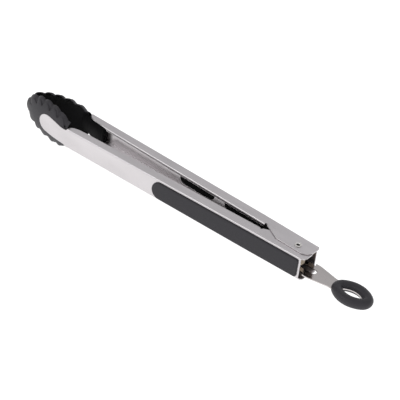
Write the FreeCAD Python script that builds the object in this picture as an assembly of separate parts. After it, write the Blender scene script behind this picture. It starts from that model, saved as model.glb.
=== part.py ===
import FreeCAD, Part
import math
import os

# Spring-loaded locking kitchen tongs, lying on their side, shut and locked.
#
# Frame, in millimetres: the origin is on the pivot axis at half the height of the channels,
# +Z runs along the pivot rivet, +X runs from the pivot towards the pull ring, and the
# gripping heads are at -X. The left arm is at -Y and the right arm at +Y.
#
# One arm is drawn in its own frame (s, d, z): s along the arm from the pivot, positive
# towards the ring, d inwards from the flat outer back, and z as above. place_arm() puts
# a piece drawn there on the left or the right side.

V = FreeCAD.Vector

# ---------------------------------------------------------------- driving dimensions
SHEET = 1.0                   # sheet steel of both arms
SHUT_ANGLE = 1.31             # each arm from the centre line when the heads meet, degrees
BACK = 11.3                   # outer back face from the pivot axis
BEND = 1.5                    # outside radius of the channel's long bends

EAR_GAP = 0.1                 # play between the ears of the two arms
LEFT_HALF = 10.0              # half height of the left channel, whose ears lie inside
RIGHT_HALF = LEFT_HALF + SHEET + EAR_GAP
HEAD_HALF = 8.55              # half height of both channels at TAPER_TO
TAPER_FROM = -40.0            # the channels are parallel from here to the ring end
TAPER_TO = -240.0

CHANNEL_START = -221.0        # head end of the flanges
LIP_END = -34.4               # the turned-in lips stop here, before the ears
FLANGE_AT_HEAD = 8.0          # flange depth at FLANGE_FULL
FLANGE_FULL = -200.0
FLANGE_AT_EAR = 10.1          # flange depth at LIP_END
FLANGE_NECK = 4.6             # flange depth where it narrows beside the head
FLANGE_NECK_S = -216.0
NECK_CURVE = ((5.0, 1.0), (11.0, 2.4))   # past FLANGE_FULL, and how much shallower there
NECK_TOE = (3.5, 1.4)         # past FLANGE_NECK_S, and how much shallower there
LIP_AT_HEAD = 2.3             # height of the turned-in lips
LIP_AT_EAR = 3.1

WALL_END = 11.0               # ring end of the back wall
EAR_END = 14.0                # ring end of the ears
EAR_REACH = BACK + 5.9        # depth of the ears, past the pivot
EAR_SLANT_FROM = -31.1        # the slanted edge between flange and ear
EAR_SLANT_TO = -17.2
EAR_OUTER_R = 4.2             # corner beside the back
EAR_INNER_R = 8.0             # corner beside the centre line

TONGUE_END = -252.7           # steel tongue on the back of the head
TONGUE_PROUD = 0.3            # it stands this far out of the silicone
TONGUE_EDGE = ((-220.0, 7.3), (-228.0, 7.05), (-236.0, 7.8), (-243.0, 8.2), (-249.5, 6.2))
WINDOWS = ((-126.0, -90.7), (-80.4, 5.0))   # slots in the back wall under the grip
WINDOW_HALF = 5.0

GRIP_FROM = -132.0            # soft grip pad, its rounded end
GRIP_TO = 9.3
GRIP_MARGIN = 1.7             # steel showing above and below the pad
GRIP_PROUD = 1.5
GRIP_EDGE = 1.0               # rounding of the pad's outer edge
CORE_MARGIN = 2.0             # pad beyond the hard core below it
CORE_THICK = 0.7

HEAD_FROM = -221.3            # spoon-shaped head, its end at the channel
HEAD_WIDE_S = -239.5
HEAD_TIP = -276.5
HEAD_HALF_WIDTH = 18.4
NECK_NARROWER = 4.8           # half width lost from HEAD_WIDE_S over NECK_LENGTH
NECK_LENGTH = 18.0
NECK_POWER = 1.4
TIP_POWER = 2.4               # fullness of the rounded tip, 2 for a true ellipse
HEAD_DEPTH = 6.9              # from the rim to the outside of the spoon's back
HEAD_DEEP_TO = -250.0         # the spoon is this deep up to here
RIM_AT_NECK = 5.9             # depth of the rim at RIM_NECK_S, below the arm's back plane
RIM_NECK_S = -222.0
NECK_RISE = 1.35              # the spoon's back lifts this much at the neck, under the steel
NECK_FROM = -231.0            # over this stretch
RIM_SLOPE = 0.2118            # the rim runs straight from there; the two tips all but meet
COVER_THICK = 1.8             # silicone cover
HEAD_CORE_THICK = 1.3         # hard core inside the cover
CORE_BELOW_RIM = 0.8
TAIL_END = -203.0             # the core's tail inside the channel
TAIL_BELOW_FLANGE = 0.6
TAIL_IN_SPOON = 5.0           # how far the tail runs on inside the spoon
TAIL_PLAY = 0.15              # between the tail and the channel
NOTCH_FIRST = -224.5          # notches between the scallops of the rim
NOTCH_PITCH = 9.7
NOTCH_COUNT = 5
NOTCH_TIP = -273.8
NOTCH_R = 2.4
NOTCH_DEPTH = 1.0
NOTCH_HEIGHT = 4.6

BORE_R = 1.3                  # through hole of the hollow rivet
SHANK_R = 1.9
RIVET_FLANGE_R = 2.9
RIVET_FLANGE_THICK = 0.8
RUNNING = 0.05                # radial clearance of the ears on the rivet
SLEEVE_R = 2.6                # spacer sleeve round the rivet, between the inner ears

PLATE_MID_Z = -4.75           # pull plate
PLATE_THICK = 1.0
SLOT_HALF = 2.75
TRAVEL = 17.4                 # travel of the pull plate, from locked to unlocked
SLOT_PLAY = 0.1               # left at both ends of the travel
PLATE_INNER_END = -5.6
PLATE_NECK_HALF = 7.0
PLATE_WIDE_HALF = 9.6
PLATE_SHOULDER_R = 16.1       # shoulders clear the swing of the wall ends
PLATE_WIDE_TO = 18.6          # tapered from here, inside the open arms when pushed in
PLATE_STEM_X = 34.8
PLATE_STEM_HALF = 6.2

RING_X = 54.6                 # oval pull ring, centre line of its round section
RING_A = 13.6
RING_B = 8.3
RING_END_R = 5.2
RING_TUBE_R = 4.3
EYE_PROUD = 0.3               # the plate's eye shows this far inside the ring's hole
EYE_OUTSIDE = 1.0             # and reaches this far past the centre line

SPRING_R = 6.8                # torsion spring round the sleeve, mean radius
WIRE_R = 0.77
SPRING_PITCH = 1.5
SPRING_TURNS = 8
SPRING_LOW_Z = -2.8           # the lowest turn, just above the washer
SPRING_LEG = 30.0
LEG_R = 0.7
SPRING_LEG_ANGLE = 5.5        # the legs lean outwards to the arms, degrees
WASHER_R = 5.2
WASHER_THICK = 0.5
FACE_PLAY = 0.05              # between faces that slide on each other

TALL = 40.0                   # height of cutting prisms, more than any section


# ---------------------------------------------------------------- small helpers
def blend(value, low, high, at_low, at_high):
    """Straight-line value between two places."""
    return at_low + (at_high - at_low) * (value - low) / (high - low)


def half_height(s, pivot_half):
    """Half height of a channel at s."""
    return blend(max(TAPER_TO, min(s, TAPER_FROM)), TAPER_FROM, TAPER_TO, pivot_half, HEAD_HALF)


def polyline(points):
    """Closed wire through points."""
    return Part.makePolygon(points + points[:1])


def spline(points):
    """Smooth edge through points."""
    curve = Part.BSplineCurve()
    curve.interpolate(points)
    return curve.toShape()


def prism(wire, along):
    """Solid of a closed flat wire moved along a vector."""
    return Part.Face(wire).extrude(along)


def plan_prism(wire):
    """Tall solid over a wire in the plan (s, d)."""
    solid = prism(wire, V(0, 0, TALL))
    solid.translate(V(0, 0, -TALL / 2))
    return solid


def main_solid(shape):
    """The shape's largest solid, without left-over slivers."""
    return max(shape.removeSplitter().Solids, key=lambda solid: solid.Volume)


def tube(radius, bore, low, high):
    """Upright tube on the pivot axis."""
    outside = Part.makeCylinder(radius, high - low, V(0, 0, low))
    return outside.cut(Part.makeCylinder(bore, high - low, V(0, 0, low)))


def section(s, d0, d1, half, r_back, r_front):
    """Rounded rectangle across the arm at s."""
    turns = ((d1, half, r_front, 90), (d1, -half, r_front, 0), (d0, -half, r_back, 270), (d0, half, r_back, 180))
    edges, last = [], None
    for d, z, r, start in turns:
        mid_d = d - r if d == d1 else d + r
        mid_z = z - r if z > 0 else z + r
        arc = [V(s, mid_d + r * math.cos(math.radians(a)), mid_z + r * math.sin(math.radians(a)))
               for a in (start, start - 45, start - 90)]
        if last:
            edges.append(Part.makeLine(last, arc[0]))
        edges.append(Part.Arc(*arc).toShape())
        last = arc[2]
    edges.append(Part.makeLine(last, edges[0].Vertexes[0].Point))
    return Part.Wire(edges)


def place_arm(shape, side):
    """Moves a piece from the arm's frame to the left (-1) or the right (+1) arm, shut."""
    placed = shape.copy()
    if side > 0:
        placed = placed.mirror(V(0, 0, 0), V(0, 1, 0))
    placed.translate(V(0, side * BACK, 0))
    placed.rotate(V(0, 0, 0), V(0, 0, 1), -side * SHUT_ANGLE)
    return placed


# ---------------------------------------------------------------- arms
def flange_depth(s):
    """Depth of the flanges of the lipped channel at s."""
    return blend(s, FLANGE_FULL, LIP_END, FLANGE_AT_HEAD, FLANGE_AT_EAR)


def lipped_channel(pivot_half):
    """Channel with turned-in lips, from the head to just before the ears."""
    outer, inner, mouth = [], [], []
    for s in (CHANNEL_START, TAPER_FROM, LIP_END):
        half, depth = half_height(s, pivot_half), flange_depth(s)
        lip = blend(s, FLANGE_FULL, LIP_END, LIP_AT_HEAD, LIP_AT_EAR)
        outer.append(section(s, 0, depth, half, BEND, BEND))
        inner.append(section(s, SHEET, depth - SHEET, half - SHEET, BEND - SHEET, BEND - SHEET))
        mouth.append(section(s, depth - 2 * SHEET, depth + SHEET, half - lip, SHEET / 4, SHEET / 4))
    solid, hollow, opening = (Part.makeLoft(wires, True, True) for wires in (outer, inner, mouth))
    return solid.cut(hollow).cut(opening)


def neck_prism():
    """Plan of what is cut from the flanges beside the head, in an S-curve."""
    full = V(FLANGE_FULL + 3, FLANGE_AT_HEAD + SHEET / 2, 0)
    neck = V(FLANGE_NECK_S, FLANGE_NECK, 0)
    tip = V(CHANNEL_START, SHEET, 0)
    slope = [V(FLANGE_FULL - along, FLANGE_AT_HEAD - less, 0) for along, less in NECK_CURVE]
    toe = V(FLANGE_NECK_S - NECK_TOE[0], FLANGE_NECK - NECK_TOE[1], 0)
    edge = spline([full] + slope + [neck, toe, tip])
    beyond, past = FLANGE_AT_HEAD + 4, CHANNEL_START - 5
    corners = [tip, V(past, SHEET, 0), V(past, beyond, 0), V(full.x, beyond, 0), full]
    return plan_prism(Part.Wire([edge, Part.makePolygon(corners)]))


def eared_channel(pivot_half):
    """Plain channel with the two pivot ears, from the lips to the ring end."""
    length = EAR_END - LIP_END
    solid = prism(section(LIP_END, 0, EAR_REACH + BEND, pivot_half, BEND, BEND), V(length, 0, 0))
    hollow = section(LIP_END, SHEET, EAR_REACH + 2 * BEND, pivot_half - SHEET, BEND - SHEET, BEND - SHEET)
    solid = solid.cut(prism(hollow, V(length, 0, 0)))
    solid = solid.common(plan_prism(ear_outline()))
    wall_cut = Part.makeBox(EAR_END, 2 * BEND, 2 * (pivot_half - SHEET), V(WALL_END, -BEND, SHEET - pivot_half))
    solid = solid.cut(wall_cut)
    hole = SHANK_R + RUNNING
    return solid.cut(Part.makeCylinder(hole, TALL, V(0, BACK, -TALL / 2)))


def ear_outline():
    """Plan of the flange end and the ear, with its two rounded corners."""
    r_out, r_in = EAR_OUTER_R, EAR_INNER_R
    diagonal = math.sqrt(0.5)
    outer_mid = V(EAR_END - r_out * (1 - diagonal), r_out * (1 - diagonal), 0)
    inner_mid = V(EAR_END - r_in * (1 - diagonal), EAR_REACH - r_in * (1 - diagonal), 0)
    straight = [
        V(EAR_END - r_in, EAR_REACH, 0),
        V(EAR_SLANT_TO, EAR_REACH, 0),
        V(EAR_SLANT_FROM, FLANGE_AT_EAR, 0),
        V(LIP_END, FLANGE_AT_EAR, 0),
        V(LIP_END, 0, 0),
        V(EAR_END - r_out, 0, 0),
    ]
    return Part.Wire([
        Part.makePolygon(straight),
        Part.Arc(straight[-1], outer_mid, V(EAR_END, r_out, 0)).toShape(),
        Part.makeLine(V(EAR_END, r_out, 0), V(EAR_END, EAR_REACH - r_in, 0)),
        Part.Arc(V(EAR_END, EAR_REACH - r_in, 0), inner_mid, straight[0]).toShape(),
    ])


def tongue():
    """Steel tongue that carries the head: the back wall runs on and bends with the spoon."""
    stations = [CHANNEL_START + 1 + (TONGUE_END - 3 - CHANNEL_START) * i / 6 for i in range(7)]
    outer = [V(s, tongue_depth(s), 0) for s in stations]
    inner = []
    for s in stations:
        rise = tongue_depth(s - 1) - tongue_depth(s)
        inner.append(V(s + SHEET * rise, tongue_depth(s) + SHEET, 0))
    strip = Part.Wire([
        spline(outer),
        Part.makeLine(outer[-1], inner[-1]),
        spline(inner[::-1]),
        Part.makeLine(inner[0], outer[0]),
    ])
    upper = [V(s, -BEND, half) for s, half in TONGUE_EDGE] + [V(TONGUE_END, -BEND, 0)]
    lower = [V(p.x, p.y, -p.z) for p in upper[-2::-1]]
    outline = Part.Wire([spline(upper + lower), Part.makeLine(lower[-1], upper[0])])
    return plan_prism(strip).common(prism(outline, V(0, TALL / 2, 0)))


def window(ends, low, high):
    """Long hole with round ends in the back wall, from depth low to high."""
    s0, s1 = ends[0] + WINDOW_HALF, ends[1] - WINDOW_HALF
    body = Part.makeBox(s1 - s0, high - low, 2 * WINDOW_HALF, V(s0, low, -WINDOW_HALF))
    for s in (s0, s1):
        body = body.fuse(Part.makeCylinder(WINDOW_HALF, high - low, V(s, low, 0), V(0, 1, 0)))
    return body.removeSplitter()


def arm(pivot_half):
    """One pressed arm: lipped channel, ears, windows and tongue."""
    steel = lipped_channel(pivot_half).cut(neck_prism())
    steel = steel.fuse(eared_channel(pivot_half)).fuse(tongue())
    for ends in WINDOWS:
        steel = steel.cut(window(ends, -SHEET, 2 * SHEET))
    return main_solid(steel)


# ---------------------------------------------------------------- grips
def pad_outline(pivot_half, margin):
    """Outline of the grip pad in (s, z), less a margin: square at the ring, round at the other end."""
    inset = GRIP_MARGIN + margin
    end_half = half_height(GRIP_FROM + HEAD_HALF, pivot_half) - inset
    round_s = GRIP_FROM + margin + end_half
    end_s, full = GRIP_TO - margin, pivot_half - inset
    return Part.Wire([
        Part.makePolygon([V(round_s, 0, end_half), V(TAPER_FROM, 0, full), V(end_s, 0, full),
                          V(end_s, 0, -full), V(TAPER_FROM, 0, -full), V(round_s, 0, -end_half)]),
        Part.Arc(V(round_s, 0, -end_half), V(round_s - end_half, 0, 0), V(round_s, 0, end_half)).toShape(),
    ])


def round_edges(solid, radius, wanted):
    """Rounds the edges that the test picks."""
    return solid.makeFillet(radius, [edge for edge in solid.Edges if wanted(edge)])


def grip_core(pivot_half):
    """Hard core: a plate on the back wall, with plugs through the wall's two windows."""
    core = prism(pad_outline(pivot_half, CORE_MARGIN), V(0, -CORE_THICK, 0))
    for ends in WINDOWS:
        core = core.fuse(window(ends, 0, SHEET))
    return main_solid(core)


def grip_pad(pivot_half, core):
    """Soft pad moulded over the core."""
    pad = prism(pad_outline(pivot_half, 0), V(0, -GRIP_PROUD, 0))
    corner_r = 2 * GRIP_EDGE
    pad = round_edges(pad, corner_r, lambda e: all(abs(v.X - GRIP_TO) < 0.01 for v in e.Vertexes)
                      and abs(e.Vertexes[0].Z - e.Vertexes[-1].Z) < 0.01)
    pad = round_edges(pad, GRIP_EDGE, lambda e: all(abs(v.Y + GRIP_PROUD) < 0.01 for v in e.Vertexes))
    return main_solid(pad.cut(core))


# ---------------------------------------------------------------- heads
def rim_depth(s):
    """Depth of the spoon's rim below the arm's back plane: a straight slope to the tip."""
    return RIM_AT_NECK + RIM_SLOPE * (RIM_NECK_S - s)


def spoon_depth(s, inset):
    """From the rim to the spoon's back, elliptical towards the tip and eased out at the neck."""
    if s > HEAD_DEEP_TO:
        ease = max(0.0, (s - NECK_FROM) / (RIM_NECK_S - NECK_FROM))
        return HEAD_DEPTH - inset - NECK_RISE * ease ** 2
    u = (HEAD_DEEP_TO - s) / (HEAD_DEEP_TO - HEAD_TIP - inset)
    return (HEAD_DEPTH - inset) * math.sqrt(1 - u ** 2)


def spoon_half_width(s, inset):
    """Half width of the rim, elliptical towards the tip and narrowing to the neck."""
    if s > HEAD_WIDE_S:
        return HEAD_HALF_WIDTH - inset - NECK_NARROWER * ((s - HEAD_WIDE_S) / NECK_LENGTH) ** NECK_POWER
    u = (HEAD_WIDE_S - s) / (HEAD_WIDE_S - HEAD_TIP - inset)
    return (HEAD_HALF_WIDTH - inset) * math.sqrt(1 - u ** TIP_POWER)


def tongue_depth(s):
    """Depth of the tongue's outside: flat with the channel, then just proud of the spoon's back."""
    if s > CHANNEL_START:
        return 0.0
    return max(0.0, rim_depth(s) - spoon_depth(s, 0) - TONGUE_PROUD)


def spoon(inset):
    """Full-bodied spoon: elliptical sections centred on the rim, closing towards the tip."""
    tip = HEAD_TIP + inset + 0.3
    sections = []
    steps = 11
    for i in range(steps + 1):
        s = HEAD_FROM + (tip - HEAD_FROM) * math.sin(math.pi / 2 * i / steps)
        wide, deep = spoon_half_width(s, inset), spoon_depth(s, inset)
        centre = V(s, rim_depth(s), 0)
        ellipse = Part.Ellipse(centre + V(0, 0, wide), centre + V(0, -deep, 0), centre)
        sections.append(Part.Wire([ellipse.toShape()]))
    return Part.makeLoft(sections, True, False)


def below_rim(drop):
    """Plan prism of everything deeper than the rim, less a drop."""
    ends = (HEAD_FROM + 5, HEAD_TIP - 5)
    rim = [V(s, rim_depth(s) - drop, 0) for s in ends]
    return plan_prism(polyline(rim + [V(ends[1], -TALL / 2, 0), V(ends[0], -TALL / 2, 0)]))


def rim_notches():
    """Cutters between the scallops, along both sides and at the tip."""
    places = [NOTCH_FIRST - NOTCH_PITCH * i for i in range(NOTCH_COUNT)] + [NOTCH_TIP]
    cutters = []
    for s in places:
        offset = spoon_half_width(s, 0) + NOTCH_R - NOTCH_DEPTH
        for side in (-1, 1):
            foot = V(s, rim_depth(s) - NOTCH_HEIGHT, side * offset)
            cutters.append(Part.makeCylinder(NOTCH_R, 2 * NOTCH_HEIGHT, foot, V(0, 1, 0)))
    return Part.makeCompound(cutters)


def head_cover(steel):
    """Silicone outside of the head, with a scalloped rim, seated round the tongue."""
    cover = spoon(0).cut(spoon(COVER_THICK)).common(below_rim(0))
    return main_solid(cover.cut(rim_notches()).cut(steel))


def head_core(cover, pivot_half):
    """Hard inside of the head, with a tail that fills the end of the channel."""
    outside = COVER_THICK + FACE_PLAY
    shell = spoon(outside).cut(spoon(outside + HEAD_CORE_THICK)).common(below_rim(CORE_BELOW_RIM))
    ends = (TAIL_END, HEAD_FROM - TAIL_IN_SPOON)
    tops = (FLANGE_AT_HEAD - TAIL_BELOW_FLANGE, FLANGE_NECK - TAIL_BELOW_FLANGE)
    low, corner = SHEET + TAIL_PLAY, BEND - SHEET
    wires = []
    for s, top in zip(ends, tops):
        half = half_height(s, pivot_half) - low
        wires.append(polyline([
            V(s, low, corner - half), V(s, low + corner, -half), V(s, top, -half),
            V(s, top, half), V(s, low + corner, half), V(s, low, half - corner),
        ]))
    tail = Part.makeLoft(wires, True, True)
    return main_solid(shell.fuse(tail).cut(cover))


# ---------------------------------------------------------------- pivot
def pivot_rivet():
    """Hollow rivet through all four ears, flanged over at both ends."""
    seat = RIGHT_HALF + FACE_PLAY
    top = seat + RIVET_FLANGE_THICK
    rivet = Part.makeCylinder(SHANK_R, 2 * top, V(0, 0, -top))
    for foot in (seat, -top):
        flange = Part.makeCylinder(RIVET_FLANGE_R, RIVET_FLANGE_THICK, V(0, 0, foot))
        rivet = rivet.fuse(flange)
    rivet = rivet.removeSplitter()
    outer_rim = RIVET_FLANGE_THICK / 2
    rivet = round_edges(rivet, outer_rim, lambda e: abs(abs(e.Vertexes[0].Z) - top) < 0.01)
    rivet = rivet.cut(Part.makeCylinder(BORE_R, 3 * top, V(0, 0, -1.5 * top)))
    flare = BORE_R / 2
    for sign in (-1, 1):
        cone = Part.makeCone(BORE_R, BORE_R + flare, flare, V(0, 0, sign * (top - flare)), V(0, 0, sign))
        rivet = rivet.cut(cone)
    return main_solid(rivet)


def torsion_spring():
    """Close coil round the sleeve, its turns as touching rings, with a straight leg to each arm."""
    top_z = SPRING_LOW_Z + SPRING_PITCH * (SPRING_TURNS - 1)
    heights = [SPRING_LOW_Z + SPRING_PITCH * i for i in range(SPRING_TURNS)]
    turns = [Part.makeTorus(SPRING_R, WIRE_R, V(0, 0, z)) for z in heights]
    lean = math.radians(SPRING_LEG_ANGLE)
    for side, z in ((-1, SPRING_LOW_Z), (1, top_z)):
        root = V(SPRING_R * math.sin(lean), side * SPRING_R * math.cos(lean), z)
        way = V(-math.cos(lean), side * math.sin(lean), 0)
        turns.append(Part.makeCylinder(LEG_R, SPRING_LEG, root, way))
    return main_solid(turns[0].fuse(turns[1:]))


# ---------------------------------------------------------------- pull tab
def oval_arcs(a, b, end_r):
    """Four tangent arcs of an oval: (centre x, centre y, radius, start, sweep) in degrees."""
    side_r = (a * a + b * b - 2 * a * end_r) / (2 * (b - end_r))
    corner = math.degrees(math.atan2(side_r - b, a - end_r))
    return [
        (a - end_r, 0, end_r, -corner, 2 * corner),
        (0, b - side_r, side_r, corner, 180 - 2 * corner),
        (end_r - a, 0, end_r, 180 - corner, 2 * corner),
        (0, side_r - b, side_r, 180 + corner, 180 - 2 * corner),
    ]


def oval_wire(grow, z):
    """Oval in plan, parallel to the ring's centre line at a distance."""
    edges = []
    for x, y, r, start, sweep in oval_arcs(RING_A + grow, RING_B + grow, RING_END_R + grow):
        points = [V(RING_X + x + r * math.cos(math.radians(a)), y + r * math.sin(math.radians(a)), z)
                  for a in (start, start + sweep / 2, start + sweep)]
        edges.append(Part.Arc(*points).toShape())
    return Part.Wire(edges)


def pull_plate():
    """Flat plate: slotted neck round the sleeve, shoulders, tapered stem and oval eye."""
    low = PLATE_MID_Z - PLATE_THICK / 2
    along = V(0, 0, PLATE_THICK)
    neck = Part.makeBox(PLATE_SHOULDER_R - PLATE_INNER_END, 2 * PLATE_NECK_HALF, PLATE_THICK,
                        V(PLATE_INNER_END, -PLATE_NECK_HALF, low))
    neck = round_edges(neck, PLATE_NECK_HALF / 3,
                       lambda e: all(abs(v.X - PLATE_INNER_END) < 0.01 for v in e.Vertexes)
                       and abs(e.Vertexes[0].Y - e.Vertexes[-1].Y) < 0.01)
    stem_end = RING_X - RING_A
    blade = []
    for x, half in ((0, PLATE_WIDE_HALF), (PLATE_WIDE_TO, PLATE_WIDE_HALF),
                    (PLATE_STEM_X, PLATE_STEM_HALF), (stem_end, PLATE_STEM_HALF)):
        blade.append(V(x, half, low))
    blade += [V(p.x, -p.y, p.z) for p in blade[::-1]]
    blade = prism(polyline(blade), along)
    blade = round_edges(blade, PLATE_NECK_HALF / 2,
                        lambda e: all(abs(v.X - PLATE_WIDE_TO) < 0.01 for v in e.Vertexes))
    blade = blade.cut(Part.makeCylinder(PLATE_SHOULDER_R, TALL, V(0, 0, -TALL / 2)))
    eye = prism(oval_wire(EYE_OUTSIDE, low), along)
    plate = neck.fuse(blade).fuse(eye)
    plate = plate.cut(prism(oval_wire(-RING_TUBE_R - EYE_PROUD, low), along))
    slot_length = TRAVEL + 2 * SLOT_PLAY
    slot = Part.makeBox(slot_length, 2 * SLOT_HALF, PLATE_THICK, V(-SLOT_PLAY, -SLOT_HALF, low))
    for x in (-SLOT_PLAY, TRAVEL + SLOT_PLAY):
        slot = slot.fuse(Part.makeCylinder(SLOT_HALF, PLATE_THICK, V(x, 0, low)))
    return main_solid(plate.cut(slot))


def pull_ring(plate):
    """Soft oval ring of round section, moulded round the plate's eye."""
    segments = []
    for x, y, r, start, sweep in oval_arcs(RING_A, RING_B, RING_END_R):
        centre = V(RING_X + x, y, PLATE_MID_Z)
        segment = Part.makeTorus(r, RING_TUBE_R, centre, V(0, 0, 1), -180, 180, sweep)
        segment.rotate(centre, V(0, 0, 1), start)
        segments.append(segment)
    ring = segments[0].fuse(segments[1:]).removeSplitter()
    return main_solid(ring.cut(plate))


# ---------------------------------------------------------------- assembly
def build():
    """All nodes by name."""
    nodes = {}
    for name, side, pivot_half in (("left", -1, LEFT_HALF), ("right", 1, RIGHT_HALF)):
        steel = arm(pivot_half)
        core = grip_core(pivot_half)
        cover = head_cover(steel)
        pieces = {
            "arm": steel,
            "grip_core": core,
            "grip_pad": grip_pad(pivot_half, core),
            "head_cover": cover,
            "head_core": head_core(cover, pivot_half),
        }
        for piece, shape in pieces.items():
            nodes[f"{name}_{piece}"] = place_arm(shape, side)

    inner_face = LEFT_HALF - SHEET
    plate_low = PLATE_MID_Z - PLATE_THICK / 2
    plate_high = PLATE_MID_Z + PLATE_THICK / 2
    nodes["pivot_rivet"] = pivot_rivet()
    nodes["spacer_sleeve"] = tube(SLEEVE_R, SHANK_R, FACE_PLAY - inner_face, inner_face - FACE_PLAY)
    nodes["plate_bush"] = tube(WASHER_R, SLEEVE_R, FACE_PLAY - inner_face, plate_low - FACE_PLAY)
    washer_low = plate_high + FACE_PLAY
    nodes["plate_washer"] = tube(WASHER_R, SLEEVE_R, washer_low, washer_low + WASHER_THICK)
    nodes["torsion_spring"] = torsion_spring()
    nodes["pull_plate"] = pull_plate()
    nodes["pull_ring"] = pull_ring(nodes["pull_plate"])
    return nodes


os.makedirs("parts", exist_ok=True)
for node_name, node_shape in build().items():
    node_shape.exportStep(f"parts/{node_name}.step")
    box = node_shape.BoundBox
    print(f"{node_name:16s} solids {len(node_shape.Solids)} valid {node_shape.isValid()} "
          f"volume {node_shape.Volume:9.1f}  x {box.XMin:7.1f} {box.XMax:6.1f}  "
          f"y {box.YMin:6.1f} {box.YMax:6.1f}  z {box.ZMin:6.1f} {box.ZMax:6.1f}")
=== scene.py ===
import math
import bmesh
import bpy
import numpy as np
from mathutils import Matrix, Vector
from mathutils.geometry import delaunay_2d_cdt


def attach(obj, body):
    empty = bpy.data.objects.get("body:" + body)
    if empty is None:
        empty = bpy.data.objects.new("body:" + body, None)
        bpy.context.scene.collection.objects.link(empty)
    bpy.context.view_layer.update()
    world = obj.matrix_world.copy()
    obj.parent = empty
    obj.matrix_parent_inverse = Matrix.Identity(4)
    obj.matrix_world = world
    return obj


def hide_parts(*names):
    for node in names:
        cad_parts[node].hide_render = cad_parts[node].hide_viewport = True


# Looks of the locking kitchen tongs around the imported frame. Lengths below are millimetres,
# in the CAD's frame: +X towards the pull ring, +Z along the rivet, heads at -X.
# A piece of one arm is drawn at (s, d, z): s along the arm, d inwards from its flat back.
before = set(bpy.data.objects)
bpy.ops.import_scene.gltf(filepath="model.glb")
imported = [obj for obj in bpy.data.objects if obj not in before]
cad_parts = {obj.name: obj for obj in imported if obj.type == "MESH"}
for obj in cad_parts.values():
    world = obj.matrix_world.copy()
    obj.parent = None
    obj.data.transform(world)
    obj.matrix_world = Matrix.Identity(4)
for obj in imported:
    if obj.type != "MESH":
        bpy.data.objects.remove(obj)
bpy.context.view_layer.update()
MM = 0.001

# ------------------------------------------------------------------ dimensions of the frame
SHEET = 1.0
BACK = 11.3
SHUT_ANGLE = math.radians(1.31)
BEND = 1.5
HALF = {-1: 10.0, 1: 11.1}
HEAD_HALF = 8.55
TAPER_FROM, TAPER_TO = -40.0, -240.0
LIP_END = -34.4
RELIEF = 2.2                  # the relief cut between a lip and an ear
WALL_END, EAR_END, EAR_REACH = 11.0, 14.0, 17.2
WINDOWS = ((-126.0, -90.7), (-80.4, 5.0))
WINDOW_HALF = 5.0
EDGE = 0.22                   # rounding of cut sheet edges

RIM_AT_NECK, RIM_NECK_S, RIM_SLOPE = 5.9, -222.0, 0.2118
HEAD_FROM, HEAD_TIP = -221.3, -276.5
HEAD_DEPTH, HEAD_HALF_WIDTH = 6.9, 18.4
HEAD_WIDE_S, HEAD_DEEP_TO = -239.5, -250.0
POLE = -255.0                 # the spoon's long middle line ends here
NOTCHES = [-224.5 - 9.7 * i for i in range(5)] + [-273.8]

PLATE_TOP, PLATE_THICK = -4.25, 1.0
TRAVEL = 17.4
RING_X, RING_A, RING_B, RING_END_R, RING_TUBE_R = 54.6, 13.6, 8.3, 5.2, 4.3
SPRING_R, WIRE_R, SPRING_TURNS = 6.8, 0.72, 7
SPRING_LOW_Z, SPRING_HIGH_Z, SPRING_LEG, SPRING_LEG_ANGLE = -2.8, 7.7, 30.0, 5.5


# ------------------------------------------------------------------ materials
def new_material(name, colour, metallic, roughness):
    """A node material with its principled shader set up."""
    material = bpy.data.materials.new(name)
    material.use_nodes = True
    shader = material.node_tree.nodes["Principled BSDF"]
    shader.inputs["Base Color"].default_value = (*colour, 1)
    shader.inputs["Metallic"].default_value = metallic
    shader.inputs["Roughness"].default_value = roughness
    return material, material.node_tree, shader


def noise(tree, scale, stretch=(1, 1, 1), detail=3.0):
    """Noise in object space, stretched; returns its factor socket."""
    place = tree.nodes.new("ShaderNodeTexCoord")
    mapping = tree.nodes.new("ShaderNodeMapping")
    mapping.inputs["Scale"].default_value = stretch
    texture = tree.nodes.new("ShaderNodeTexNoise")
    texture.inputs["Scale"].default_value = scale
    texture.inputs["Detail"].default_value = detail
    tree.links.new(place.outputs["Object"], mapping.inputs["Vector"])
    tree.links.new(mapping.outputs["Vector"], texture.inputs["Vector"])
    return texture.outputs["Fac"]


def spread(tree, factor, low, high):
    """Maps the middle of a noise factor to a range of values."""
    ramp = tree.nodes.new("ShaderNodeMapRange")
    ramp.inputs["From Min"].default_value = 0.3
    ramp.inputs["From Max"].default_value = 0.7
    ramp.inputs["To Min"].default_value = low
    ramp.inputs["To Max"].default_value = high
    tree.links.new(factor, ramp.inputs["Value"])
    return ramp.outputs["Result"]


def tint(tree, shader, factor, dark, light):
    """Varies the base colour between two colours."""
    ramp = tree.nodes.new("ShaderNodeValToRGB")
    ramp.color_ramp.elements[0].position = 0.3
    ramp.color_ramp.elements[1].position = 0.7
    ramp.color_ramp.elements[0].color = (*dark, 1)
    ramp.color_ramp.elements[1].color = (*light, 1)
    tree.links.new(factor, ramp.inputs["Fac"])
    tree.links.new(ramp.outputs["Color"], shader.inputs["Base Color"])


def bump(tree, shader, height, distance, strength=1.0):
    """Fine relief from a height socket; distance is in metres."""
    node = tree.nodes.new("ShaderNodeBump")
    node.inputs["Strength"].default_value = strength
    node.inputs["Distance"].default_value = distance
    tree.links.new(height, node.inputs["Height"])
    tree.links.new(node.outputs["Normal"], shader.inputs["Normal"])


def shade(colour, factor):
    return tuple(c * factor for c in colour)


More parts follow.
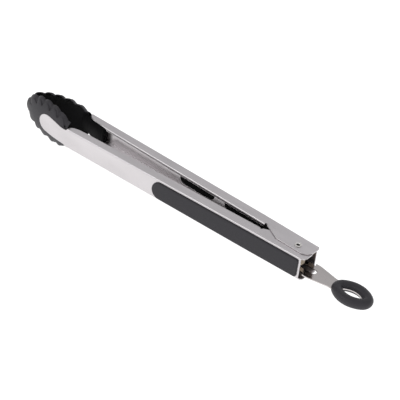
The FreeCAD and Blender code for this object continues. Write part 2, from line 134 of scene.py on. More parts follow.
def steel(name, colour, smooth, rough, relief):
    """Stainless steel with fine streaks along X and faint clouding."""
    material, tree, shader = new_material(name, colour, 1.0, (smooth + rough) / 2)
    streaks = noise(tree, 900, (0.03, 1, 1), 4)
    clouds = noise(tree, 60, (0.4, 1, 1), 3)
    tint(tree, shader, clouds, shade(colour, 0.93), shade(colour, 1.04))
    mixed = tree.nodes.new("ShaderNodeMath")
    mixed.operation = "ADD"
    half_streaks = spread(tree, streaks, smooth * 0.5, rough * 0.5)
    half_clouds = spread(tree, clouds, smooth * 0.5, rough * 0.5)
    tree.links.new(half_streaks, mixed.inputs[0])
    tree.links.new(half_clouds, mixed.inputs[1])
    tree.links.new(mixed.outputs["Value"], shader.inputs["Roughness"])
    bump(tree, shader, streaks, relief)
    return material


def soft(name, colour, smooth, rough, grain, relief, gloss):
    """Matt rubber-like material: fine grain, faint dusty clouding."""
    material, tree, shader = new_material(name, colour, 0.0, (smooth + rough) / 2)
    shader.inputs["Specular IOR Level"].default_value = gloss
    clouds = noise(tree, 90, (1, 1, 1), 4)
    speck = noise(tree, grain, (1, 1, 1), 2)
    tint(tree, shader, clouds, shade(colour, 0.88), shade(colour, 1.12))
    tree.links.new(spread(tree, clouds, smooth, rough), shader.inputs["Roughness"])
    bump(tree, shader, speck, relief)
    return material


MATERIALS = {
    "steel": steel("brushed_steel", (0.61, 0.585, 0.595), 0.26, 0.36, 0.000004),
    "plate_steel": steel("plate_steel", (0.60, 0.565, 0.555), 0.08, 0.14, 0.000001),
    "rivet_steel": steel("rivet_steel", (0.72, 0.70, 0.68), 0.18, 0.28, 0.000002),
    "spring_steel": steel("spring_steel", (0.44, 0.38, 0.30), 0.20, 0.32, 0.000003),
    "silicone": soft("silicone", (0.030, 0.028, 0.033), 0.42, 0.54, 3500, 0.00001, 0.32),
    "soft_grip": soft("soft_grip", (0.028, 0.0265, 0.031), 0.52, 0.66, 2600, 0.00002, 0.30),
    "nylon": soft("nylon", (0.004, 0.004, 0.0045), 0.62, 0.75, 2200, 0.00001, 0.12),
}


# ------------------------------------------------------------------ mesh helpers
def piece(name, points, faces, body, nodes, slot, weighted=True):
    """Makes a mesh from millimetre points, and ties it to its body, CAD nodes and slot."""
    mesh = bpy.data.meshes.new(name)
    mesh.from_pydata([Vector(p) * MM for p in points], [], faces)
    mesh.validate()
    thing = bpy.data.objects.new(name, mesh)
    bpy.context.scene.collection.objects.link(thing)
    bpy.context.view_layer.objects.active = thing
    shape = bmesh.new()
    shape.from_mesh(mesh)
    bmesh.ops.remove_doubles(shape, verts=shape.verts, dist=0.002 * MM)
    bmesh.ops.recalc_face_normals(shape, faces=shape.faces)
    shape.to_mesh(mesh)
    shape.free()
    for polygon in mesh.polygons:
        polygon.use_smooth = True
    if weighted:
        weigh = thing.modifiers.new("weigh", "WEIGHTED_NORMAL")
        weigh.keep_sharp = False
        weigh.weight = 80
    mesh.materials.append(MATERIALS[slot])
    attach(thing, body)
    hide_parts(*nodes)
    return thing


def grid_faces(rows, columns, close_columns=False, first=0):
    """Quads of a grid of points stored row by row."""
    faces = []
    for j in range(rows - 1):
        for i in range(columns if close_columns else columns - 1):
            a, b = j * columns + i, j * columns + (i + 1) % columns
            faces.append((first + a, first + b, first + b + columns, first + a + columns))
    return faces


def place_arm(points, side):
    """(s, d, z) points of one arm to the frame's X, Y, Z, shut. side is -1 left or 1 right."""
    s, d, z = np.asarray(points, float).T
    y = side * (BACK - d)
    turn = -side * SHUT_ANGLE
    c, n = math.cos(turn), math.sin(turn)
    return np.stack([c * s - n * y, n * s + c * y, z], 1)


def subdivide(points, step):
    """Open line with no stretch longer than step."""
    points = [np.array(p, float) for p in points]
    made = [points[0]]
    for a, b in zip(points, points[1:]):
        count = max(1, math.ceil(np.linalg.norm(b - a) / step))
        made += [a + (b - a) * k / count for k in range(1, count + 1)]
    return made


def offset_loop(loop, distance):
    """Closed loop moved to its left by a distance, mitred."""
    p = np.array(loop, float)
    ahead = np.roll(p, -1, 0) - p
    ahead /= np.linalg.norm(ahead, axis=1)[:, None]
    left = np.stack([-ahead[:, 1], ahead[:, 0]], 1)
    middle = left + np.roll(left, 1, 0)
    middle /= np.linalg.norm(middle, axis=1)[:, None]
    reach = distance / np.maximum(0.6, (middle * left).sum(1))
    return p + middle * reach[:, None]


def inside(loops, points):
    """Even-odd test of points against closed loops."""
    p = np.atleast_2d(points)
    odd = np.zeros(len(p), bool)
    for loop in loops:
        a = np.array(loop)
        b = np.roll(a, -1, 0)
        for (x0, y0), (x1, y1) in zip(a, b):
            if y0 == y1:
                continue
            crosses = (y0 > p[:, 1]) != (y1 > p[:, 1])
            odd ^= crosses & (p[:, 0] < x0 + (p[:, 1] - y0) * (x1 - x0) / (y1 - y0))
    return odd


def sheet(outline, holes, lines, surface, thick, edge_out, edge_in, side=-1):
    """Points and faces of a pressed sheet with rounded cut edges.

    outline runs anticlockwise and holes clockwise in the flat pattern; lines are creases
    and stations to follow. surface maps pattern points to space; thickness grows inwards, so
    side is 1 where surface mirrors the pattern.
    """
    loops = [offset_loop(loop, edge_out) for loop in [outline, *holes]]
    keep = [offset_loop(loop, edge_out + 0.3) for loop in [outline, *holes]]
    verts, edges = [], []
    for loop in loops:
        n = len(verts)
        verts += [Vector(p) for p in loop]
        edges += [(n + i, n + (i + 1) % len(loop)) for i in range(len(loop))]
    for line in lines:
        fits = inside(keep, line)
        for k, p in enumerate(line):
            if fits[k]:
                verts.append(Vector(p))
                if k and fits[k - 1]:
                    edges.append((len(verts) - 2, len(verts) - 1))
    flat, _, faces = delaunay_2d_cdt(verts, edges, [], 0, 1e-4)[:3]
    flat = np.array([(v.x, v.y) for v in flat])
    corners = np.array([f[:3] for f in faces])
    middle = flat[corners].mean(1)
    corners = corners[inside(loops, middle)]
    a, b, c = (flat[corners[:, k]] for k in range(3))
    area = (b - a)[:, 0] * (c - a)[:, 1] - (b - a)[:, 1] * (c - a)[:, 0]
    corners[area < 0] = corners[area < 0][:, ::-1]
    corners = corners[np.abs(area) > 1e-7]

    directed = {(int(f[k]), int(f[(k + 1) % 3])) for f in corners for k in range(3)}
    follow = {u: v for u, v in directed if (v, u) not in directed}
    rims = []
    while follow:
        start, here = next(iter(follow)), None
        rim, here = [start], follow.pop(start)
        while here != start:
            rim.append(here)
            here = follow.pop(here)
        rims.append(rim)

    def lift(pattern, level):
        step = 0.01
        s, w = pattern.T
        at = surface(s, w)
        ds = surface(s + step, w) - surface(s - step, w)
        dw = surface(s, w + step) - surface(s, w - step)
        normal = np.cross(ds, dw)
        normal /= np.linalg.norm(normal, axis=1)[:, None]
        return at + side * normal * np.reshape(level, (-1, 1))

    inner_shift = edge_out - edge_in
    count = len(flat)
    outward = np.zeros_like(flat)
    for rim in rims:
        p = flat[rim]
        outward[rim] = p - offset_loop(p, 1.0)
    rows = [(edge_out * math.sin(math.radians(t)), edge_out * (1 - math.cos(math.radians(t))))
            for t in (22.5, 45, 67.5, 90)]
    rows += [(edge_out - edge_in * (1 - math.cos(math.radians(t))), thick - edge_in * (1 - math.sin(math.radians(t))))
             for t in (0, 22.5, 45, 67.5)]
    inner = flat + outward * inner_shift
    points = [lift(flat, 0.0), lift(inner, thick)]
    faces = [tuple(f) for f in corners] + [tuple(count + f[::-1]) for f in corners]
    first = 2 * count
    for rim in rims:
        n = len(rim)
        for out, level in rows:
            points.append(lift(flat[rim] + outward[rim] * out, level))
        index = [rim] + [list(range(first + k * n, first + (k + 1) * n)) for k in range(len(rows))]
        index.append([count + v for v in rim])
        for upper, lower in zip(index, index[1:]):
            faces += [(upper[i], lower[i], lower[(i + 1) % n], upper[(i + 1) % n]) for i in range(n)]
        first += len(rows) * n
    return np.concatenate(points), faces


# ------------------------------------------------------------------ arms
def mix(value, low, high, at_low, at_high):
    return at_low + (at_high - at_low) * (value - low) / (high - low)


def half_height(s, side):
    return mix(np.clip(s, TAPER_TO, TAPER_FROM), TAPER_FROM, TAPER_TO, HALF[side], HEAD_HALF)


def flange_depth(s):
    return mix(s, -200.0, LIP_END, 8.0, 10.1)


def rim_depth(s):
    return RIM_AT_NECK + RIM_SLOPE * (RIM_NECK_S - s)


def spoon_depth(s, inset):
    ease = np.clip((s + 231.0) / 9.0, 0, 2)
    u = np.clip((HEAD_DEEP_TO - s) / (HEAD_DEEP_TO - HEAD_TIP - inset), 0, 1)
    return (HEAD_DEPTH - inset) * np.sqrt(1 - u ** 2) - 1.35 * ease ** 2


def spoon_half_width(s, inset):
    neck = np.clip((s - HEAD_WIDE_S) / 18.0, 0, 2)
    u = np.clip((HEAD_WIDE_S - s) / (HEAD_WIDE_S - HEAD_TIP - inset), 0, 1)
    return (HEAD_HALF_WIDTH - inset) * (1 - u ** 2.4) ** 0.5 - 4.8 * neck ** 1.4


def tongue_depth(s, z):
    """The tongue lies just proud of the spoon's back and runs flat into the channel."""
    across = np.sqrt(np.clip(1 - (z / np.maximum(9, spoon_half_width(s, 0))) ** 2, 0.05, 1))
    follow = rim_depth(s) - spoon_depth(s, 0) * across - 0.35
    ease = np.clip((-221.5 - s) / 9.0, 0, 1)
    ease = ease * ease * (3 - 2 * ease)
    return np.maximum(0, follow) * ease


def arm_surface(side):
    """Maps the flat pattern (s, w), w measured round the section from its middle line, to space."""
    def at(s, w):
        across, a = np.sign(w), np.abs(w)
        flat = half_height(s, side) - BEND
        quarter = BEND * math.pi / 2
        depth = np.where(s > LIP_END + RELIEF / 2, 99.0, flange_depth(s))
        run = depth - 2 * BEND
        z, d = np.minimum(a, flat), np.zeros_like(a)
        turn = np.clip((a - flat) / BEND, 0, math.pi / 2)
        z, d = z + BEND * np.sin(turn), d + BEND * (1 - np.cos(turn))
        d = d + np.clip(a - flat - quarter, 0, run)
        turn = np.clip((a - flat - quarter - run) / BEND, 0, math.pi / 2)
        z, d = z - BEND * (1 - np.cos(turn)), d + BEND * np.sin(turn)
        z = z - np.maximum(0, a - flat - 2 * quarter - run)
        d = d + np.where(s < -221.5, tongue_depth(s, z), 0.0) 
        return place_arm(np.stack([s, d, across * z], 1), side)
    return at


def at_depth(s, d, side, lipped):
    """Pattern coordinate w of the point at depth d on the bend, flange or lip bend."""
    flat = half_height(s, side) - BEND
    if d < BEND:
        return flat + BEND * math.acos(1 - d / BEND)
    w = flat + BEND * math.pi / 2
    run = flange_depth(s) - 2 * BEND
    if lipped and d - BEND > run:
        return w + run + BEND * math.asin(min(1.0, (d - BEND - run) / BEND))
    return w + d - BEND


def lip_edge(s, side):
    lip = mix(s, -200.0, LIP_END, 2.3, 3.1)
    return at_depth(s, flange_depth(s), side, True) + lip - BEND


def arc(cs, cd, r, start, end, count=10):
    return [(cs + r * math.cos(math.radians(t)), cd + r * math.sin(math.radians(t)))
            for t in np.linspace(start, end, count)]


def smooth_line(points, count):
    """Catmull-Rom line through points."""
    p = [np.array(q, float) for q in [points[0], *points, points[-1]]]
    made = []
    for a, b, c, e in zip(p, p[1:], p[2:], p[3:]):
        for t in np.linspace(0, 1, count, endpoint=False):
            made.append(0.5 * (2 * b + (c - a) * t + (2 * a - 5 * b + 4 * c - e) * t ** 2
                               + (3 * b - a - 3 * c + e) * t ** 3))
    return made + [p[-1]]


def arm_outline(side):
    """Upper half of the flat pattern's outline, from the tongue's tip to the ring end."""
    tip = [(-243 - 9.7 * math.cos(t), 8.2 * math.sin(t)) for t in np.linspace(0, math.pi / 2, 22)]
    waist = smooth_line([(-243, 8.2), (-236, 7.85), (-228, 7.1), (-223, 7.05), (-221.3, 7.6), (-220.9, 8.7)], 6)
    plan = smooth_line([(-220.7, 1.2), (-220.3, 2.7), (-218.8, 4.6), (-216, 6.0), (-211, 7.0),
                        (-205, 7.55), (-201.2, 7.75)], 8)
    neck = [(s, at_depth(s, d, side, True)) for s, d in plan]
    end_s = plan[-1][0] + 1.4
    lip_w = lip_edge(end_s, side)
    lip_start = subdivide([neck[-1], (end_s, at_depth(end_s, 8.0, side, True)), (end_s + 0.3, lip_w - 0.4),
                           (end_s + 0.8, lip_w)], 0.3)
    lip_line = [(s, lip_edge(s, side)) for s in np.linspace(end_s + 2, LIP_END - 0.7, 30)]
    root = 8.5
    lip_stop = subdivide([(LIP_END - 0.2, lip_edge(LIP_END, side) - 0.1), (LIP_END, lip_edge(LIP_END, side) - 0.5),
                          (LIP_END, at_depth(LIP_END, root + 0.4, side, True))], 0.3)
    relief = [(LIP_END + RELIEF / 2 + s * RELIEF / 2, at_depth(LIP_END, root, side, True) - d)
              for s, d in ((-0.8, 0.0), (0, 0.25), (0.8, 0.0))]
    ear_plan = [(LIP_END + RELIEF, root + 0.6), (LIP_END + RELIEF + 0.1, 9.6), (LIP_END + RELIEF + 0.7, 10.0),
                (-30.4, 10.35), (-17.9, 16.85), (-16.6, 17.2)]
    ear_plan += arc(EAR_END - 8.0, EAR_REACH - 8.0, 8.0, 90, 0, 14)
    ear_plan += arc(EAR_END - 4.2, 4.2, 4.2, 0, -66, 12)
    ear = [(s, at_depth(s, d, side, False)) for s, d in subdivide(ear_plan, 3.0)]
    wall = [(WALL_END + 0.15, half_height(0, side) - BEND + 0.9), (WALL_END, half_height(0, side) - BEND + 0.4),
            (WALL_END, half_height(0, side) - BEND - 0.6), (WALL_END, 3.0)]
    upper = tip + waist[1:] + neck + lip_start[1:] + lip_line + lip_stop + relief + ear + wall
    return [(float(a), float(b)) for a, b in upper]


def arm(side, name):
    upper = arm_outline(side)
    lower = [(s, -w) for s, w in upper[1:]]
    outline = lower + upper[:0:-1] + [upper[0]]
    holes = []
    for s0, s1 in WINDOWS:
        slot = arc(s1 - WINDOW_HALF, 0, WINDOW_HALF, 90, -90, 19) + arc(s0 + WINDOW_HALF, 0, WINDOW_HALF, -90, -270, 19)
        holes.append(slot)
    for sign in (1, -1):
        middle = at_depth(0.0, BACK, side, False)
        hole = arc(0, 0, 1.95, 0, -360, 29)[:-1]
        holes.append([(s, sign * middle + w) for s, w in hole])
    stations = list(np.arange(-221, -196, 1.5)) + list(np.arange(-195, TAPER_FROM, 15)) + list(np.arange(-40, 12, 4.0))
    lines = []
    for sign in (1, -1):
        for k in range(8):
            t = math.pi / 2 * k / 7
            lines.append([(s, sign * (half_height(s, side) - BEND + BEND * t)) for s in stations])
            lines.append([(s, sign * (at_depth(s, flange_depth(s) - BEND, side, True) + BEND * t))
                          for s in stations if s < LIP_END - 1])
    for w in np.arange(-7, 7.1, 1.0):
        lines.append([(s, w) for s in np.arange(-252, -219, 1.2)])
    for w in (-7.0, 7.0):
        lines.append([(s, w) for s in stations])
    points, faces = sheet(outline, holes, lines, arm_surface(side), SHEET, EDGE, EDGE, side)
    return piece(name, points, faces, name.split("_")[0], [name], "steel")


# ------------------------------------------------------------------ grips
def grip_pad(side, name):
    """Soft pad: square with rounded corners at the ring, half round at the other end."""
    margin, end_s, far, proud = 1.7, 9.3, -132.0, 1.38
    end_half = half_height(far + HEAD_HALF, side) - margin
    full = HALF[side] - margin
    r = 2.0
    round_s = far + end_half
    upper = [(round_s - end_half * math.cos(t), end_half * math.sin(t)) for t in np.linspace(0, math.pi / 2, 26)]
    upper += [(TAPER_FROM, full), (end_s - r, full)]
    upper = upper[:26] + [tuple(p) for p in subdivide(upper[25:], 12.0)[1:]]
    upper += arc(end_s - r, full - r, r, 75, 0, 6)
    outline = [(s, -z) for s, z in upper[1:]] + upper[:0:-1] + [upper[0]]

    def at(s, z):
        crown = 0.12 * (1 - (z / HALF[side]) ** 2)
        return place_arm(np.stack([s, -proud - crown + 0 * s, z], 1), side)

    lines = [[(s, z) for s in np.arange(-130, 9, 6.0)] for z in np.arange(-7.5, 7.6, 1.5)]
    points, faces = sheet(outline, [], lines, at, proud, 1.0, 0.08, side)
    return piece(name, points, faces, name.split("_")[0], [name], "soft_grip")


# ------------------------------------------------------------------ heads
def rim_line(inset, count):
    """Half of the spoon's rim in plan, from the neck to the tip, evenly spaced, with its lobes."""
    s = HEAD_FROM + (HEAD_TIP + inset - HEAD_FROM) * np.sin(np.linspace(0, math.pi / 2, 900))
    z = spoon_half_width(s, inset)
    z[-1] = 0.0
    run = np.concatenate([[0], np.cumsum(np.hypot(np.diff(s), np.diff(z)))])
    even = np.linspace(0, run[-1], count)
    marks = [float(np.interp(-n, -s, run)) for n in NOTCHES]
    marks = [marks[0] - 9.7] + marks + [2 * run[-1] - marks[-1]]
    lobe = np.zeros(count)
    for a, b in zip(marks, marks[1:]):
        here = (even >= a) & (even <= b)
        lobe[here] = np.abs((even[here] - (a + b) / 2) / ((b - a) / 2))
    return np.interp(even, run, s), np.interp(even, run, z), lobe


def spoon_rows(inset, rows, count):
    """Grid of points on the spoon; rows are (angle from the middle line, drop from the rim, inwards)."""
    s_half, z_half, lobe_half = rim_line(inset, count)
    rim_s = np.concatenate([s_half, s_half[-2::-1]])
    rim_z = np.concatenate([z_half, -z_half[-2::-1]])
    lobe = np.concatenate([lobe_half, lobe_half[-2::-1]])
    spine_s = np.maximum(rim_s, POLE)
    reach = np.stack([rim_s - spine_s, rim_z], 1)
    length = np.maximum(1e-6, np.linalg.norm(reach, axis=1))
    made = []
    for angle, drop, inwards in rows:
        f = math.sin(math.radians(angle))
        s, z = spine_s + f * reach[:, 0], f * reach[:, 1]
        wide = np.maximum(1e-4, spoon_half_width(s, inset))
        below = spoon_depth(s, inset) * np.sqrt(np.clip(1 - (z / wide) ** 2, 0, 1))
        if angle >= 90:
            below = np.full_like(s, drop)
        made.append((s, z, below, inwards, reach / length[:, None], lobe))
    return made


def ease(x):
    x = np.clip(x, 0, 1)
    return x * x * (3 - 2 * x)


def head_cover(side, name):
    """Silicone head: smooth body, a recessed scalloped band and a lobed, rounded rim."""
    angles = list(np.linspace(0, 46, 13)) + list(np.linspace(46.8, 69, 40)) + list(np.linspace(70.5, 84.5, 8))
    rows = [(a, 0, 0) for a in angles]
    rows += [(90, 0.45, 0.0), (90, 0.22, 0.07), (90, 0.07, 0.22), (90, 0.0, 0.5), (90, 0.0, 1.5),
             (90, 0.1, 1.85), (90, 0.35, 2.1), (90, 1.2, 2.3), (90, 2.4, 2.6), (90, 3.0, 3.0)]
    points, count = [], 0
    for s, z, below, inwards, out, lobe in spoon_rows(0, rows, 150):
        notch = 1.6 * lobe ** 2.0 * ease((5.6 - below) / 1.6)
        edge = 3.7 + 1.6 * lobe ** 2.2
        recess = 1.1 * ease((edge - below) / 0.45) * (inwards < 1)
        pull = inwards + notch + recess
        s, z = s - out[:, 0] * pull, z - out[:, 1] * pull
        points.append(np.stack([s, rim_depth(s) - below, z], 1))
        count = len(s)
    faces = grid_faces(len(points), count)
    thing = piece(name, place_arm(np.concatenate(points), side), faces, name.split("_")[0], [name], "silicone", False)
    return thing


def head_core(side, name):
    """Black inside of the head, with a tail that fills the end of the channel."""
    rows = [(90, 1.2, 0.35), (90, 1.9, 0.5)] + [(a, 0, 0) for a in np.linspace(70, 0, 24)]
    points, count = [], 0
    for s, z, below, inwards, out, _ in spoon_rows(3.0, rows, 90):
        s, z = s - out[:, 0] * inwards, z - out[:, 1] * inwards
        points.append(np.stack([s, rim_depth(s) - below, z], 1))
        count = len(s)
    faces = grid_faces(len(points), count)
    first = len(points) * count
    ring_ends = []
    for s, wide, top, shrink in ((-203.0, 0, 7.4, 0.3), (-203.3, 0, 7.4, 0.0), (-211.0, 0, 6.9, 0.0),
                                 (-216.0, 0, 6.3, 0.0), (-220.6, 0, 5.0, 0.0), (-222.4, 0.4, 4.9, 0.0),
                                 (-228.0, 2.2, 4.2, 0.0)):
        half = half_height(s, side) - 1.05 - shrink + wide
        low, high = 1.06 + shrink + wide * 0.3, top - shrink
        ring_ends.append([(s, low, -half + 0.5), (s, low + 0.5, -half), (s, high - 0.3, -half), (s, high, 0.3 - half),
                          (s, high, half - 0.3), (s, high - 0.3, half), (s, low + 0.5, half), (s, low, half - 0.5)])
    tail = np.array([p for ring in ring_ends for p in ring], float)
    faces += grid_faces(len(ring_ends), 8, True, first)
    faces += [tuple(first + k for k in range(8)), tuple(first + 48 + k for k in range(7, -1, -1))]
    points = np.concatenate(points + [tail])
    return piece(name, place_arm(points, side), faces, name.split("_")[0], [name], "nylon", False)


# ------------------------------------------------------------------ pivot
def lathe(name, profile, nodes, slot, body="pivot", sides=72):
    """Turned piece on the pivot axis from a closed (radius, z) profile."""
    turn = np.linspace(0, 2 * math.pi, sides, endpoint=False)
    points = [(r * math.cos(t), r * math.sin(t), z) for r, z in profile for t in turn]
    faces = grid_faces(len(profile), sides, True)
    n = len(profile) - 1
    faces += [(n * sides + i, n * sides + (i + 1) % sides, (i + 1) % sides, i) for i in range(sides)]
    return piece(name, points, faces, body, nodes, slot)


def rounded(profile, radius):
    """Closed (r, z) profile with each corner cut by three small steps."""
    made = []
    for k, p in enumerate(profile):
        p = np.array(p, float)
        for other, share in ((profile[k - 1], 1.0), (profile[k - 1], 0.4), (profile[(k + 1) % len(profile)], 0.4),
                             (profile[(k + 1) % len(profile)], 1.0)):
            way = np.array(other, float) - p
            length = np.linalg.norm(way)
            made.append(p + way / length * min(radius * share, length * 0.45))
    return made


def tube_along(path, radius, around=14):
    """Points and faces of a round wire along a path."""
    path = np.array(path, float)
    ahead = np.gradient(path, axis=0)
    ahead /= np.linalg.norm(ahead, axis=1)[:, None]
    up = np.array([0, 0, 1.0])
    side = np.cross(ahead, up)
    side /= np.linalg.norm(side, axis=1)[:, None]
    over = np.cross(side, ahead)
    turn = np.linspace(0, 2 * math.pi, around, endpoint=False)
    rings = [[p + radius * (math.cos(t) * a + math.sin(t) * b) for t in turn] for p, a, b in zip(path, side, over)]
    faces = grid_faces(len(path), around, True)
    last = (len(path) - 1) * around
    faces += [tuple(range(around - 1, -1, -1)), tuple(last + k for k in range(around))]
    return [p for ring in rings for p in ring], faces


def rivet():
    top, seat = 11.95, 11.15
    upper = [(1.3, 0.0), (1.3, top - 1.0), (1.38, top - 0.6), (1.6, top - 0.27), (1.9, top - 0.06), (2.15, top),
             (2.45, top - 0.06), (2.7, top - 0.24), (2.85, top - 0.48), (2.8, top - 0.62), (2.55, seat + 0.1),
             (2.3, seat), (1.95, seat), (1.9, seat - 0.05), (1.9, 0.0)]
    lower = [(r, -z) for r, z in upper[-2:0:-1]]
    return lathe("rivet", upper + lower, ["pivot_rivet"], "rivet_steel", sides=96)


def coil():
    start = math.radians(SPRING_LEG_ANGLE - 90)
    turns = SPRING_TURNS + (180 - 2 * SPRING_LEG_ANGLE) / 360
    pitch = (SPRING_HIGH_Z - SPRING_LOW_Z) / turns
    t = np.linspace(0, 2 * math.pi * turns, int(64 * turns))
    path = np.stack([SPRING_R * np.cos(start + t), SPRING_R * np.sin(start + t),
                     SPRING_LOW_Z + pitch * t / (2 * math.pi)], 1)
    points, faces = tube_along(path, WIRE_R)
    piece("spring_coil", points, faces, "pivot", ["torsion_spring"], "spring_steel", False)
    climb = pitch / (2 * math.pi * SPRING_R)
    for body, end, sign in (("left", 0, -1), ("right", -1, 1)):
        angle = start + t[end]
        way = np.array([-math.sin(angle), math.cos(angle), climb]) * sign
        reach = [0, 0.4, 8, 16, SPRING_LEG - 0.3, SPRING_LEG]
        leg = [path[end] + way * k for k in reach]
        points, faces = tube_along(leg, WIRE_R * 0.985)
        piece(f"spring_leg_{body}", points, faces, body, ["torsion_spring"], "spring_steel", False)


# ------------------------------------------------------------------ pull tab
def oval(grow, count=26):
    """Closed oval in plan, anticlockwise, parallel to the ring's centre line."""
    a, b, end_r = RING_A + grow, RING_B + grow, RING_END_R + grow
    side_r = (a * a + b * b - 2 * a * end_r) / (2 * (b - end_r))
    corner = math.degrees(math.atan2(side_r - b, a - end_r))
    made = []
    end_sweep, side_sweep = 2 * corner, 180 - 2 * corner
    for x, y, r, begin, sweep in ((a - end_r, 0, end_r, -corner, end_sweep),
                                  (0, b - side_r, side_r, corner, side_sweep),
                                  (end_r - a, 0, end_r, 180 - corner, end_sweep),
                                  (0, side_r - b, side_r, 180 + corner, side_sweep)):
        made += [(RING_X + x + r * math.cos(math.radians(t)), y + r * math.sin(math.radians(t)))
                 for t in np.linspace(begin, begin + sweep, count, endpoint=False)]
    return made


def plate():
    eye = [p for p in oval(1.0, 16) if not (p[0] < RING_X and abs(p[1]) < 6.4)]
    eye.sort(key=lambda p: (math.atan2(p[1], p[0] - RING_X)))
    neck, shoulder_r, wide, stem, slot_r = 7.0, 16.1, 9.6, 6.2, 2.75
    shoulder = math.sqrt(shoulder_r ** 2 - neck ** 2)
    upper = [(-5.6, 3.0)] + arc(-3.3, 4.7, 2.3, 170, 90, 7) + [(0.0, neck), (shoulder - 1.0, neck)]
    upper += [(shoulder - 0.45, 7.15), (shoulder - 0.15, 7.6)]
    turns = [math.degrees(math.asin(y / shoulder_r)) for y in (8.0, 9.3)]
    upper += arc(0, 0, shoulder_r, *turns, 4)
    upper += [(13.35, 9.5), (14.2, wide), (17.4, wide), (18.5, 9.5), (19.6, 9.32), (20.8, 9.08)]
    upper += [(33.2, 6.54), (34.4, 6.28), (36.0, stem)]
    lower = [(x, -y) for x, y in upper]
    outline = [tuple(p) for p in subdivide(lower, 2.0)] + eye + [tuple(p) for p in subdivide(upper[::-1], 2.0)]
    slot_loop = arc(TRAVEL + 0.1, 0, slot_r, 90, -90, 21) + arc(-0.1, 0, slot_r, -90, -270, 21)
    hole = oval(-RING_TUBE_R - 0.3)[::-1]

    def at(x, y):
        return np.stack([x, y, np.full_like(x, PLATE_TOP)], 1)

    lines = [[(x, y) for x in np.arange(-4, 40, 4.0)] for y in (-6, 6)]
    points, faces = sheet(outline, [slot_loop, hole], lines, at, PLATE_THICK, 0.16, 0.16)
    piece("pull_plate_steel", points, faces, "pull_tab", ["pull_plate"], "plate_steel")


def ring():
    """Soft oval ring: a round tube swept along the oval, at the plate's middle height."""
    path = np.array(oval(0, 30))
    ahead = np.roll(path, -1, 0) - np.roll(path, 1, 0)
    ahead /= np.linalg.norm(ahead, axis=1)[:, None]
    outward = np.stack([ahead[:, 1], -ahead[:, 0]], 1)
    turn = np.linspace(0, 2 * math.pi, 40, endpoint=False)
    points = []
    for p, o in zip(path, outward):
        for t in turn:
            r, z = RING_TUBE_R * math.cos(t), RING_TUBE_R * math.sin(t)
            points.append((p[0] + o[0] * r, p[1] + o[1] * r, PLATE_TOP - PLATE_THICK / 2 + z))
    count = len(turn)
    faces = grid_faces(len(path), count, True)
    last = (len(path) - 1) * count
    faces += [(last + i, last + (i + 1) % count, (i + 1) % count, i) for i in range(count)]
    piece("pull_ring_soft", points, faces, "pull_tab", ["pull_ring"], "silicone", False)


# ------------------------------------------------------------------ build the pieces
for side, hand in ((-1, "left"), (1, "right")):
    arm(side, f"{hand}_arm").name = f"{hand}_arm_steel"
    grip_pad(side, f"{hand}_grip_pad").name = f"{hand}_grip_soft"
    head_cover(side, f"{hand}_head_cover").name = f"{hand}_head_silicone"
    head_core(side, f"{hand}_head_core").name = f"{hand}_head_inside"
rivet()
for name, node, slot, edge, inner_r, outer_r, low, high in (
        ("sleeve", "spacer_sleeve", "rivet_steel", 0.15, 1.92, 2.6, -8.95, 8.95),
        ("bush", "plate_bush", "nylon", 0.25, 2.62, 5.2, -8.95, -5.3),
        ("washer", "plate_washer", "rivet_steel", 0.12, 2.62, 5.2, -4.2, -3.7)):
    corners = [(inner_r, low), (outer_r, low), (outer_r, high), (inner_r, high)]
    lathe(name, rounded(corners, edge), [node], slot)
coil()
plate()
ring()
for node in ("left_grip_core", "right_grip_core"):
    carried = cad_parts[node]
    carried.data.materials.clear()
    carried.data.materials.append(MATERIALS["nylon"])

# ------------------------------------------------------------------ floor, light and camera
FLOOR_Z = -0.0200
bpy.ops.mesh.primitive_plane_add(size=12, location=(0, 0, FLOOR_Z))
floor = bpy.context.object
floor.name = "floor"
paper, tree, shader = new_material("paper", (0.3, 0.3, 0.3), 0.0, 0.9)
shader.inputs["Specular IOR Level"].default_value = 0.0
shader.inputs["Emission Color"].default_value = (1, 1, 1, 1)
shader.inputs["Emission Strength"].default_value = 1.0
floor.data.materials.append(paper)

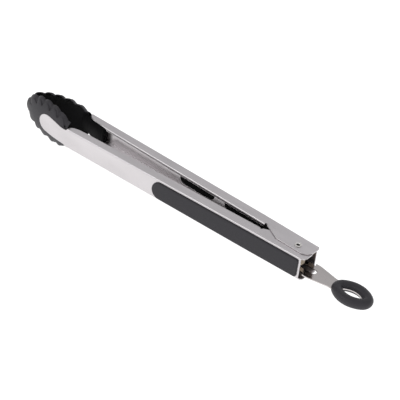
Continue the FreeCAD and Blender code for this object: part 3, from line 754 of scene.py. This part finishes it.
world = bpy.data.worlds.new("studio")
bpy.context.scene.world = world
world.use_nodes = True
tree = world.node_tree
place = tree.nodes.new("ShaderNodeTexCoord")
split = tree.nodes.new("ShaderNodeSeparateXYZ")
ramp = tree.nodes.new("ShaderNodeValToRGB")
ramp.color_ramp.elements[0].position = 0.0
ramp.color_ramp.elements[0].color = (1.0, 1.0, 1.0, 1)
ramp.color_ramp.elements[1].position = 0.45
ramp.color_ramp.elements[1].color = (0.60, 0.60, 0.61, 1)
tree.links.new(place.outputs["Generated"], split.inputs["Vector"])
tree.links.new(split.outputs["Z"], ramp.inputs["Fac"])
tree.links.new(ramp.outputs["Color"], tree.nodes["Background"].inputs["Color"])


def softbox(name, toward, distance, width, height, radiance):
    """Area light at a distance along a direction, facing the origin."""
    light = bpy.data.lights.new(name, "AREA")
    light.shape = "RECTANGLE"
    light.size, light.size_y = width, height
    light.energy = radiance * math.pi * width * height
    lamp = bpy.data.objects.new(name, light)
    bpy.context.scene.collection.objects.link(lamp)
    lamp.location = Vector(toward).normalized() * distance
    lamp.rotation_mode = "QUATERNION"
    lamp.rotation_quaternion = (-lamp.location).to_track_quat("-Z", "Y")
    return lamp


softbox("key", (-0.45, -0.62, 0.66), 2.6, 1.6, 1.1, 1.5)
softbox("fill", (0.8, -0.7, 0.9), 2.6, 0.9, 0.9, 0.9)
softbox("back", (-0.2, 0.9, 1.3), 2.8, 1.8, 0.6, 0.9)

AZIMUTH, ELEVATION, ROLL = (math.radians(x) for x in (33.98, 36.2, 8.51))
AIM = Vector((-0.07855, -0.02454, 0.02219))
DISTANCE = 1.98796
level = math.cos(ELEVATION)
back_way = Vector((math.sin(AZIMUTH) * level, -math.cos(AZIMUTH) * level, math.sin(ELEVATION)))
right_way = Vector((math.cos(AZIMUTH), math.sin(AZIMUTH), 0))
up_way = back_way.cross(right_way)
turned_right = math.cos(ROLL) * right_way + math.sin(ROLL) * up_way
turned_up = math.cos(ROLL) * up_way - math.sin(ROLL) * right_way
lens = bpy.data.cameras.new("camera")
lens.sensor_width = 36
lens.lens = 234
camera = bpy.data.objects.new("camera", lens)
bpy.context.scene.collection.objects.link(camera)
camera.matrix_world = Matrix((turned_right, turned_up, back_way)).transposed().to_4x4()
camera.location = AIM + back_way * DISTANCE
lens.clip_end = 20
bpy.context.scene.camera = camera
bpy.context.scene.view_settings.view_transform = "Standard"
